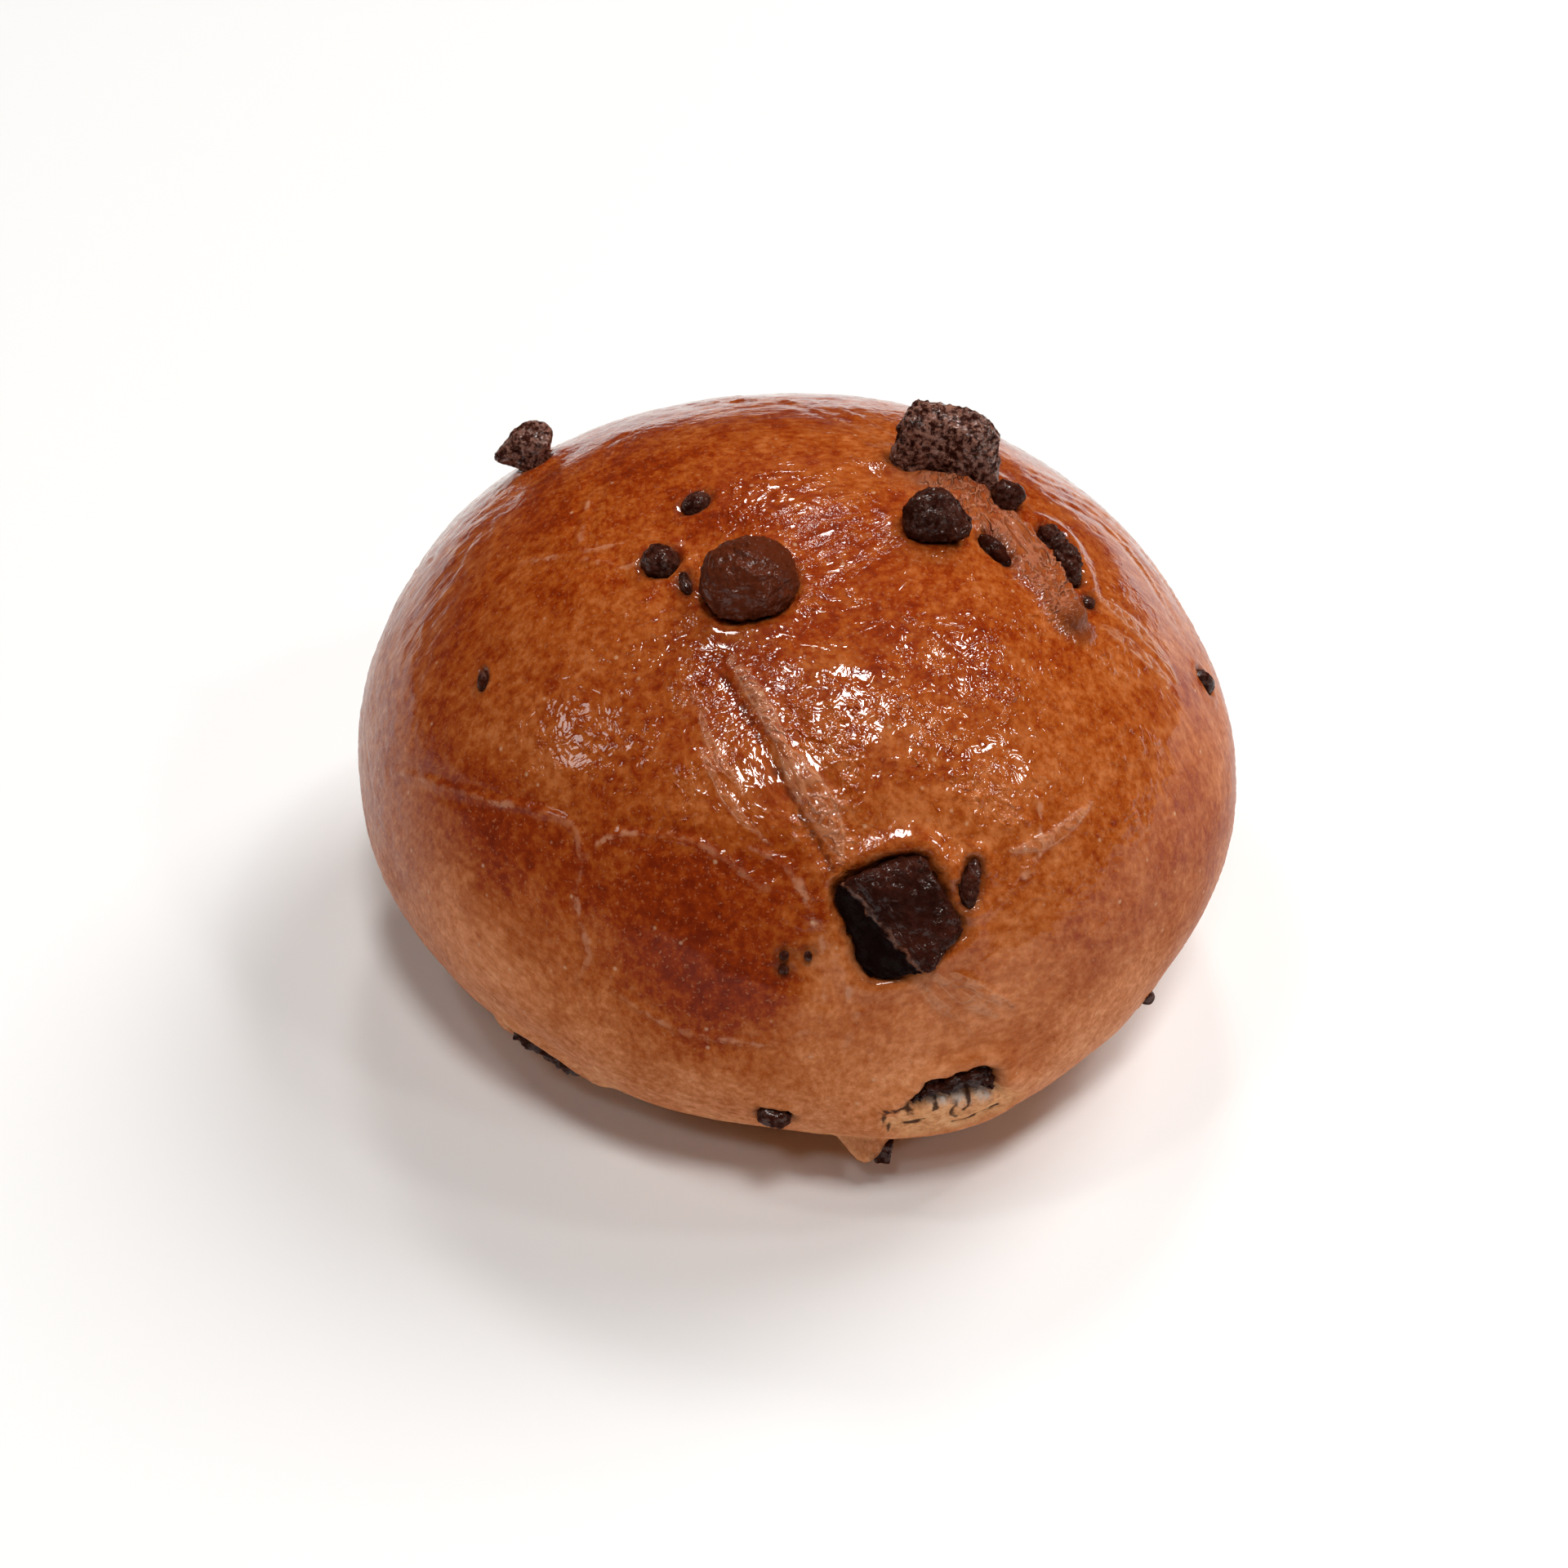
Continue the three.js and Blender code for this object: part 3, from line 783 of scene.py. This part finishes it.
BROWN_SPOTS = [  # bearing, rise, reach in degrees, how much darker
    (-103, 21, 14, 0.14), (-95, 24, 9, 0.09), (-110, 26, 9, 0.08), (-101, 12, 10, 0.11),
    (-127, 23, 9, 0.15), (-137, 24, 10, 0.15), (-146, 21, 8, 0.10), (-124, 33, 9, 0.06),
    (-52, 12, 9, 0.07), (-42, 22, 10, 0.04), (-35, 10, 12, 0.05), (150, 70, 22, 0.05),
    (-64, 60, 10, 0.05), (-61.5, 0, 4, 0.12), (4, 56, 12, 0.06), (-95, 70, 20, 0.05),
    (-112, 46, 9, 0.05), (-97, 9, 9, 0.10),
    (168, 55, 14, 0.05), (-172, 44, 14, 0.05), (-160, 30, 12, 0.07),
    (100, 24, 17, 0.20), (70, 46, 14, 0.12), (48, 20, 13, 0.16), (140, 18, 14, 0.16),
]
# Lighter places: partly lighter baking and partly painted sheen, standing in for the pale reflection of
# the table low on the flank.
PALE_AND_SHEEN_SPOTS = [  # the same, but lighter
    (-76, 3, 12, 0.14), (-84, 3, 6, 0.07), (-86, 18, 4, 0.12), (-64, 12, 8, 0.06), (14, 40, 12, 0.04),
    (-140, 8, 9, 0.12), (-128, 2, 12, 0.10), (-48, -2, 14, 0.12), (-98, 28, 3, 0.06),
]
FOOT_BAKE, WAIST_BAKE, CROWN_BAKE = 0.03, 0.50, 0.12

# lower towards the foot: partly lighter baking, and partly painted light standing in for light thrown up
# from the white table
bake_and_table_light = FOOT_BAKE + WAIST_BAKE * smoothstep(-32, 14, level) + CROWN_BAKE * smoothstep(14, 55, level)
for bearing, rise, reach, amount in BROWN_SPOTS:
    edge = angle_from(bearing, rise) / reach + 0.16 * cloud(skin, 9, 20, 2)
    bake_and_table_light += amount * smoothstep(1.3, 0.55, edge)
for bearing, rise, reach, amount in PALE_AND_SHEEN_SPOTS:
    bake_and_table_light -= amount * bell(angle_from(bearing, rise), reach)
bake_and_table_light += 0.05 * cloud(skin, 14, 21, 3) + 0.03 * cloud(skin, 4, 22, 3)

glazed = 0.06 + 0.49 * smoothstep(20, 36, level) + 0.45 * smoothstep(60, 34, wet_far)
glazed += 0.55 * rim * smoothstep(-20, 20, level)
glazed = np.clip(glazed * (1 - 0.5 * ridge) * (1 - 0.6 * lobe), 0, 1)
pale = np.maximum(bell(np.linalg.norm(skin - on_dough(0, 72.5), axis=1), 3.2), 0.3 * pinch)
# darker dough right round each chip: partly chocolate stain and partly painted contact shade
stain_and_shade = 0.75 * bell(np.maximum(chip_gap, 0), 0.55)

FAR_MM = 20  # distances are kept up to here
numbers = {
    "bake_and_table_light": np.clip(bake_and_table_light, 0, 1), "glazed": glazed, "wrinkled": wrinkled, "pinch": pinch,
    "fold_edge": fold_edge, "calm": calm, "pale": pale, "ridge": np.clip(ridge - 0.8 * lobe, 0, 1),
    "lobe": lobe, "flour": bell(flour_far, 0.7), "torn": torn, "stain_and_shade": stain_and_shade, "rim": rim,
    "seam_mm": np.minimum(seam_far, FAR_MM), "crease_mm": np.minimum(crease_far, FAR_MM),
    "smear_mm": np.minimum(smear_far, FAR_MM), "pull_mm": np.minimum(pull_far, FAR_MM),
}
for name, values in numbers.items():
    keep_numbers(dough, name, values)
keep_places(dough, "flow", flow)
print("bake from", bake_and_table_light.min().round(2), "to", bake_and_table_light.max().round(2))

# %% [markdown]
# A finish is a tree of nodes. These helpers make each node in one short line, so that the finish
# itself reads from top to bottom.


# %% Helpers for finishes
class Finish:
    """A material's node tree, with a short call for each kind of node."""

    def __init__(self, name):
        self.material = bpy.data.materials.new(name)
        self.material.use_nodes = True
        self.tree = self.material.node_tree
        self.shader = self.tree.nodes["Principled BSDF"]

    def feed(self, socket, value):
        """Links a node's output to a socket, or sets a plain value on it."""
        if isinstance(value, bpy.types.NodeSocket):
            self.tree.links.new(value, socket)
        else:
            socket.default_value = value

    def put(self, name, value):
        """Sets one input of the shader."""
        self.feed(self.shader.inputs[name], value)

    def number(self, name):
        """A number kept on the mesh."""
        node = self.tree.nodes.new("ShaderNodeAttribute")
        node.attribute_name = name
        return node.outputs["Fac"]

    def places(self, name):
        """Places kept on the mesh, to use instead of Object coordinates."""
        node = self.tree.nodes.new("ShaderNodeAttribute")
        node.attribute_name = name
        return node.outputs["Vector"]

    def place(self):
        """Object coordinates."""
        return self.tree.nodes.new("ShaderNodeTexCoord").outputs["Object"]

    def lumps(self, size_mm, detail=3, rough=0.55, twist=0, where=None):
        """A noise from 0 to 1 with lumps of about this size."""
        node = self.tree.nodes.new("ShaderNodeTexNoise")
        self.feed(node.inputs["Vector"], where or self.place())
        node.inputs["Scale"].default_value = 1 / (size_mm * MM)
        node.inputs["Detail"].default_value = detail
        node.inputs["Roughness"].default_value = rough
        node.inputs["Distortion"].default_value = twist
        return node.outputs["Fac"]

    def cells(self, size_mm):
        """Distances to scattered dots, which lie about this far apart."""
        node = self.tree.nodes.new("ShaderNodeTexVoronoi")
        self.feed(node.inputs["Vector"], self.place())
        node.inputs["Scale"].default_value = 1 / (size_mm * MM)
        return node.outputs["Distance"]

    def ridges(self, size_mm, thin, twist):
        """Narrow winding ridges from 0 to 1, stretched along the flow of the skin."""
        noise_along = self.lumps(size_mm, 2, 0.5, twist, self.places("flow"))
        return self.fit(self.away_from(0.5, noise_along), thin, 0.0)

    def sum(self, kind, a, b, clamp=False):
        """One step of arithmetic with two values."""
        node = self.tree.nodes.new("ShaderNodeMath")
        node.operation = kind
        node.use_clamp = clamp
        self.feed(node.inputs[0], a)
        self.feed(node.inputs[1], b)
        return node.outputs["Value"]

    def times(self, a, b):
        return self.sum("MULTIPLY", a, b)

    def plus(self, a, b):
        return self.sum("ADD", a, b)

    def away_from(self, target, value):
        """How far the value is from this target, above or below it."""
        return self.sum("ABSOLUTE", self.sum("SUBTRACT", value, target), 0.0)

    def fit(self, value, low, high, to_low=0.0, to_high=1.0):
        """Runs smoothly from to_low to to_high as value goes from low to high."""
        node = self.tree.nodes.new("ShaderNodeMapRange")
        node.interpolation_type = "SMOOTHSTEP"
        self.feed(node.inputs["Value"], value)
        for key, bound in (("From Min", low), ("From Max", high), ("To Min", to_low), ("To Max", to_high)):
            node.inputs[key].default_value = bound
        return node.outputs["Result"]

    def ramp(self, value, stops):
        """Runs through these colours as value goes from 0 to 1."""
        node = self.tree.nodes.new("ShaderNodeValToRGB")
        self.feed(node.inputs["Fac"], value)
        stops = sorted(stops.items())
        while len(node.color_ramp.elements) < len(stops):
            node.color_ramp.elements.new(0.5)
        for element, (at, colour) in zip(node.color_ramp.elements, stops):
            element.position = at
            element.color = (*colour, 1)
        return node.outputs["Color"]

    def blend(self, share, first, second, kind="MIX"):
        """The second colour over the first, by this share."""
        node = self.tree.nodes.new("ShaderNodeMix")
        node.data_type = "RGBA"
        node.blend_type = kind
        self.feed(node.inputs["Factor"], share)
        colours = [socket for socket in node.inputs if socket.type == "RGBA"]
        for socket, value in zip(colours, (first, second)):
            self.feed(socket, (*value, 1) if isinstance(value, tuple) else value)
        return next(socket for socket in node.outputs if socket.type == "RGBA")

    def bump(self, value, depth_mm, strength=1.0, under=None):
        """Relief that is this deep where value goes from 0 to 1, on top of the relief under it."""
        node = self.tree.nodes.new("ShaderNodeBump")
        self.feed(node.inputs["Height"], value)
        self.feed(node.inputs["Strength"], strength)
        node.inputs["Distance"].default_value = depth_mm * MM
        if under is not None:
            self.feed(node.inputs["Normal"], under)
        return node.outputs["Normal"]


# %% [markdown]
# The crust: browned dough under a film of baked egg. The colour goes from a pale foot over orange
# brown to a dark red brown, with blotches and fine mottling. Seams are paler.

# %% The crust's colour
crust = Finish("crust")
blotches = crust.fit(crust.lumps(7, 4, 0.6), 0.25, 0.75, -0.10, 0.10)
mottle = crust.fit(crust.lumps(1.5, 4, 0.68), 0.25, 0.75, -0.12, 0.12)
threads = crust.fit(crust.lumps(0.8, 3, 0.6, 0.2, crust.places("flow")), 0.3, 0.7, -0.09, 0.09)
bake_and_table_light_level = crust.plus(crust.plus(crust.number("bake_and_table_light"), blotches), mottle)
bake_and_table_light_level = crust.plus(bake_and_table_light_level, threads)
colour = crust.ramp(bake_and_table_light_level, {
    0.00: (0.780, 0.360, 0.165),
    0.20: (0.650, 0.230, 0.086),
    0.42: (0.480, 0.134, 0.034),
    0.60: (0.360, 0.072, 0.008),
    0.78: (0.250, 0.027, 0.001),
    0.95: (0.160, 0.014, 0.001),
})
jitter = crust.fit(crust.lumps(1.6, 3, 0.6), 0.2, 0.8, -0.45, 0.45)
seam_line = crust.fit(crust.plus(crust.number("seam_mm"), jitter), 0.42, -0.05)
seam_line = crust.times(seam_line, crust.fit(crust.lumps(6, 3, 0.6), 0.35, 0.62, 0.15, 0.7))
# painted shade: the crease is darkened along its middle, where shade falls in it
crease_painted_shade = crust.fit(crust.plus(crust.number("crease_mm"), jitter), 0.55, 0.0, 0.0, 0.7)

fibres = crust.fit(crust.lumps(0.9, 3, 0.6, 0.4, crust.places("flow")), 0.35, 0.7, 0.25, 0.9)
fold_lines = crust.ridges(1.5, 0.13, 0.3)
pinch_part = crust.times(crust.number("pinch"), fold_lines)
# painted highlight: a pale line along the rim of each fold; the same line also raises a fine ridge in the
# film
fold_rim_highlight = crust.fit(crust.away_from(0.85, crust.number("fold_edge")), 0.22, 0.03)
fold_rim_highlight = crust.times(fold_rim_highlight, crust.fit(crust.lumps(1.8, 2), 0.35, 0.6, 0.1, 1.0))
ridge_part = crust.times(crust.number("ridge"), crust.fit(fibres, 0.25, 0.9, 0.25, 0.75))
strands = crust.times(crust.number("ridge"), crust.fit(fold_lines, 0.2, 0.9, 0.0, 0.6))
pale_part = crust.times(crust.number("pale"), crust.fit(fibres, 0.25, 0.9, 0.3, 0.95))
for share, tint in [
    (seam_line, (0.54, 0.24, 0.13)),
    (crease_painted_shade, (0.10, 0.014, 0.003)),
    (crust.times(crust.number("pinch"), 0.2), (0.46, 0.15, 0.055)),
    (crust.times(pinch_part, 0.65), (0.62, 0.29, 0.155)),
    (crust.times(fold_rim_highlight, 0.42), (0.64, 0.31, 0.17)),
    (ridge_part, (0.23, 0.060, 0.021)),
    (strands, (0.43, 0.155, 0.080)),
    (pale_part, (0.36, 0.135, 0.065)),
    (crust.times(crust.number("lobe"), 0.85), (0.16, 0.036, 0.011)),
]:
    colour = crust.blend(share, colour, tint)

freckles = crust.fit(crust.lumps(0.8, 4, 0.72), 0.48, 0.72, 0.0, 0.55)
colour = crust.blend(freckles, colour, (0.66, 0.48, 0.36), "MULTIPLY")
specks = crust.fit(crust.lumps(0.4, 2, 0.5), 0.58, 0.74, 0.0, 0.45)
colour = crust.blend(specks, colour, (0.50, 0.20, 0.09))
pin_dots = crust.fit(crust.cells(3.4), 0.10, 0.03, 0.0, 0.6)
colour = crust.blend(pin_dots, colour, (0.62, 0.36, 0.20))

# %% Torn crumb, streaks, and stains with painted contact shade
torn_part = crust.number("torn")
crumb = crust.ramp(crust.lumps(0.9, 4, 0.7), {
    0.30: (0.52, 0.19, 0.070),
    0.50: (0.86, 0.39, 0.165),
    0.70: (0.93, 0.56, 0.300),
})
colour = crust.blend(torn_part, colour, crumb)
flour_part = crust.times(crust.number("flour"), crust.fit(crust.lumps(0.8, 3), 0.35, 0.55, 0.2, 0.9))
colour = crust.blend(flour_part, colour, (0.78, 0.68, 0.60))
streak_width = crust.fit(crust.lumps(1.6, 2), 0.3, 0.7, 0.14, 0.40)
streak = crust.fit(crust.sum("SUBTRACT", crust.number("smear_mm"), streak_width), 0.14, -0.12, 0.0, 0.92)
colour = crust.blend(streak, colour, (0.040, 0.012, 0.008))
# chocolate stain and painted contact shade round the chips
stain_and_shade_part = crust.times(crust.number("stain_and_shade"), crust.fit(crust.lumps(1.2), 0.3, 0.6, 0.4, 1.0))
colour = crust.blend(stain_and_shade_part, colour, (0.065, 0.016, 0.007))
crust.put("Base Color", colour)

# %% [markdown]
# The film of baked egg shines on its own, as a coat over the colour. It is smooth and sharp in
# its reflections, and it crinkled in patches as it dried: narrow ridges in two sizes and small
# beads, with calm glaze between the patches. Only these turn far enough to catch a lamp, so the
# light breaks up into sparks.

# %% The crust's gloss and relief
film = crust.times(crust.number("glazed"), crust.fit(crust.lumps(5, 3), 0.25, 0.6, 0.75, 1.0))
film = crust.sum("SUBTRACT", film, torn_part, clamp=True)
crust.put("Coat Weight", film)
crust.put("Coat Roughness", 0.05)
crust.put("Coat IOR", 1.5)
crust.put("Specular IOR Level", 0.05)
roughness = crust.fit(film, 0.0, 1.0, 0.62, 0.40)
roughness = crust.plus(roughness, crust.fit(crust.lumps(0.8, 3), 0.2, 0.8, -0.08, 0.08))
crust.put("Roughness", roughness)

patches = crust.fit(crust.lumps(4.2, 3, 0.6, 0.6), 0.46, 0.60, 0.15, 1.0)
patches = crust.times(patches, crust.fit(crust.number("calm"), 0.0, 1.0, 0.15, 1.0))
long_ridges = crust.ridges(2.6, 0.13, 0.8)
small_ridges = crust.times(crust.ridges(1.5, 0.14, 0.5), patches)
beads = crust.times(crust.fit(crust.lumps(1.25, 1, 0.4), 0.52, 0.74), patches)
crinkle = crust.plus(crust.times(long_ridges, 0.3), crust.times(small_ridges, 0.55))
crinkle = crust.plus(crinkle, crust.times(beads, 1.1))
grain = crust.lumps(0.42, 3, 0.6)
pores = crust.fit(crust.cells(0.9), 0.0, 0.35)
fine_folds = crust.lumps(0.9, 2, 0.5, 0.3, crust.places("flow"))

surface = crust.bump(pores, 0.03, 0.5, crust.bump(grain, 0.05, 0.6))
film_surface = crust.bump(grain, 0.006, 0.5)
for relief, place, crust_mm, film_mm in [
    (crinkle, "wrinkled", 0.12, 0.12),
    (fold_lines, "pinch", 0.16, 0.14),
    (fold_lines, "ridge", 0.22, 0.20),
]:
    surface = crust.bump(relief, crust_mm, crust.number(place), surface)
    film_surface = crust.bump(relief, film_mm, crust.number(place), film_surface)
surface = crust.bump(fine_folds, 0.12, crust.number("rim"), surface)
surface = crust.bump(crust.lumps(0.8, 5, 0.7), 0.45, torn_part, surface)
crust.put("Normal", surface)

film_surface = crust.bump(fold_rim_highlight, 0.14, 1.0, film_surface)
film_surface = crust.bump(fine_folds, 0.08, crust.number("rim"), film_surface)
pulled = crust.plus(crust.number("pull_mm"), crust.fit(crust.lumps(1.2, 3), 0.2, 0.8, -0.4, 0.4))
film_surface = crust.bump(crust.fit(pulled, 0.9, 0.0), 0.12, 0.9, film_surface)
crust.put("Coat Normal", film_surface)
dough.data.materials.append(crust.material)
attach(dough, "root")
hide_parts("bun")

# %% [markdown]
# Chocolate that has been through the oven is almost black brown. Its skin is partly glossy where
# fat melted and partly dusty and lighter brown, and it is pitted all over. Along one edge of the
# front chunk a thin light line is painted on as a highlight, and the side beyond that edge is
# painted almost black as shade, for the dark pocket it lies in.

# %% The chocolate's finish
chocolate = Finish("chocolate")
shade = chocolate.ramp(chocolate.lumps(3.5, 3, 0.6), {
    0.3: (0.014, 0.0020, 0.0011),
    0.7: (0.042, 0.0080, 0.0036),
})
dust = chocolate.fit(chocolate.lumps(0.8, 5, 0.72), 0.42, 0.60)
dusty = chocolate.times(dust, chocolate.number("dusty"))
shade = chocolate.blend(dusty, shade, (0.310, 0.143, 0.102))
warm = chocolate.times(chocolate.number("warm"), 0.8)
shade = chocolate.blend(warm, shade, (0.100, 0.018, 0.005))
edge_jitter = chocolate.fit(chocolate.lumps(1.5), 0.3, 0.7, -0.3, 0.3)
past_edge = chocolate.plus(chocolate.number("past_edge_mm"), edge_jitter)
# painted highlight: a thin light line along the front chunk's edge
painted_edge_highlight = chocolate.fit(chocolate.sum("ABSOLUTE", past_edge, 0.0), 0.34, 0.05, 0.0, 0.6)
painted_edge_highlight = chocolate.times(painted_edge_highlight, chocolate.fit(chocolate.lumps(1.1), 0.38, 0.56, 0.15, 1.0))
# painted shade: beyond the front chunk's edge its side is painted almost black, and most of its gloss is
# taken away there
painted_shade_side = chocolate.fit(past_edge, 0.1, 0.5)
shade = chocolate.blend(painted_shade_side, shade, (0.006, 0.0010, 0.0007))
shade = chocolate.blend(painted_edge_highlight, shade, (0.240, 0.095, 0.055))
chocolate.put("Base Color", shade)
gloss = chocolate.fit(chocolate.lumps(2.4, 3, 0.6), 0.40, 0.60, 0.30, 0.65)
gloss = chocolate.plus(gloss, chocolate.times(dusty, 0.3))
chocolate.put("Roughness", gloss)
melted = chocolate.fit(chocolate.lumps(1.6, 3, 0.6), 0.42, 0.58, 0.04, 0.8)
wet = chocolate.fit(chocolate.number("dusty"), 0.0, 1.0, 0.7, 1.6)
wet = chocolate.times(wet, chocolate.fit(painted_shade_side, 0.0, 1.0, 1.0, 0.1))
chocolate.put("Coat Weight", chocolate.times(melted, wet))
chocolate.put("Coat Roughness", 0.12)
chocolate.put("Specular IOR Level", 0.03)
rugged = chocolate.fit(chocolate.number("warm"), 0.2, 1.0, 1.0, 0.6)
relief = chocolate.bump(chocolate.lumps(0.5, 4, 0.65), 0.42, rugged)
relief = chocolate.bump(chocolate.fit(chocolate.cells(1.1), 0.05, 0.45), 0.22, 0.6, relief)
chocolate.put("Normal", relief)
wet_relief = chocolate.bump(chocolate.lumps(0.75, 2, 0.5), 0.26, 1.0)
chocolate.put("Coat Normal", wet_relief)

# %% Dust, warmth, and the front chunk's painted edge highlight and painted shade
DUSTY = {"chip_crown_chunk": 1.0, "chip_shoulder_drop": 0.8, "chip_top_round": 0.15,
         "chip_front_chunk": 0.04, "chip_back_chunk": 0.8, "chip_crown_drop": 0.12,
         "chip_torn_arch": 0.05, "chip_crown_slit": 0.0}
WARM = {"chip_top_round": 1.0, "chip_front_chunk": 0.08, "chip_back_drop": 0.7}
PLAIN_DUST, PLAIN_WARMTH = 0.15, 0.1  # for all other chips
# the front chunk's edge: a painted highlight runs along it, and painted shade lies beyond it
EDGE_FROM = np.array((-6.5, 4.3))  # mm to the right and up along the crust, from the chunk's middle
EDGE_TO = np.array((2.9, -6.4))
NO_EDGE = -20.0  # mm, for chips without such an edge

beyond = unit((EDGE_TO - EDGE_FROM)[::-1] * (1, -1))
for name, chip in chips.items():
    past = np.full(len(chip.data.vertices), NO_EDGE)
    if name == "chip_front_chunk":
        middle = chip_middles[name]
        past = ((points_of(chip) - middle) @ axes_on_crust(middle).T[:, :2] - EDGE_FROM) @ beyond
    keep_numbers(chip, "past_edge_mm", past)
    keep_numbers(chip, "dusty", np.full(len(chip.data.vertices), DUSTY.get(name, PLAIN_DUST)))
    keep_numbers(chip, "warm", np.full(len(chip.data.vertices), WARM.get(name, PLAIN_WARMTH)))
    chip.data.materials.append(chocolate.material)
    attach(chip, "root")
    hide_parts(name)
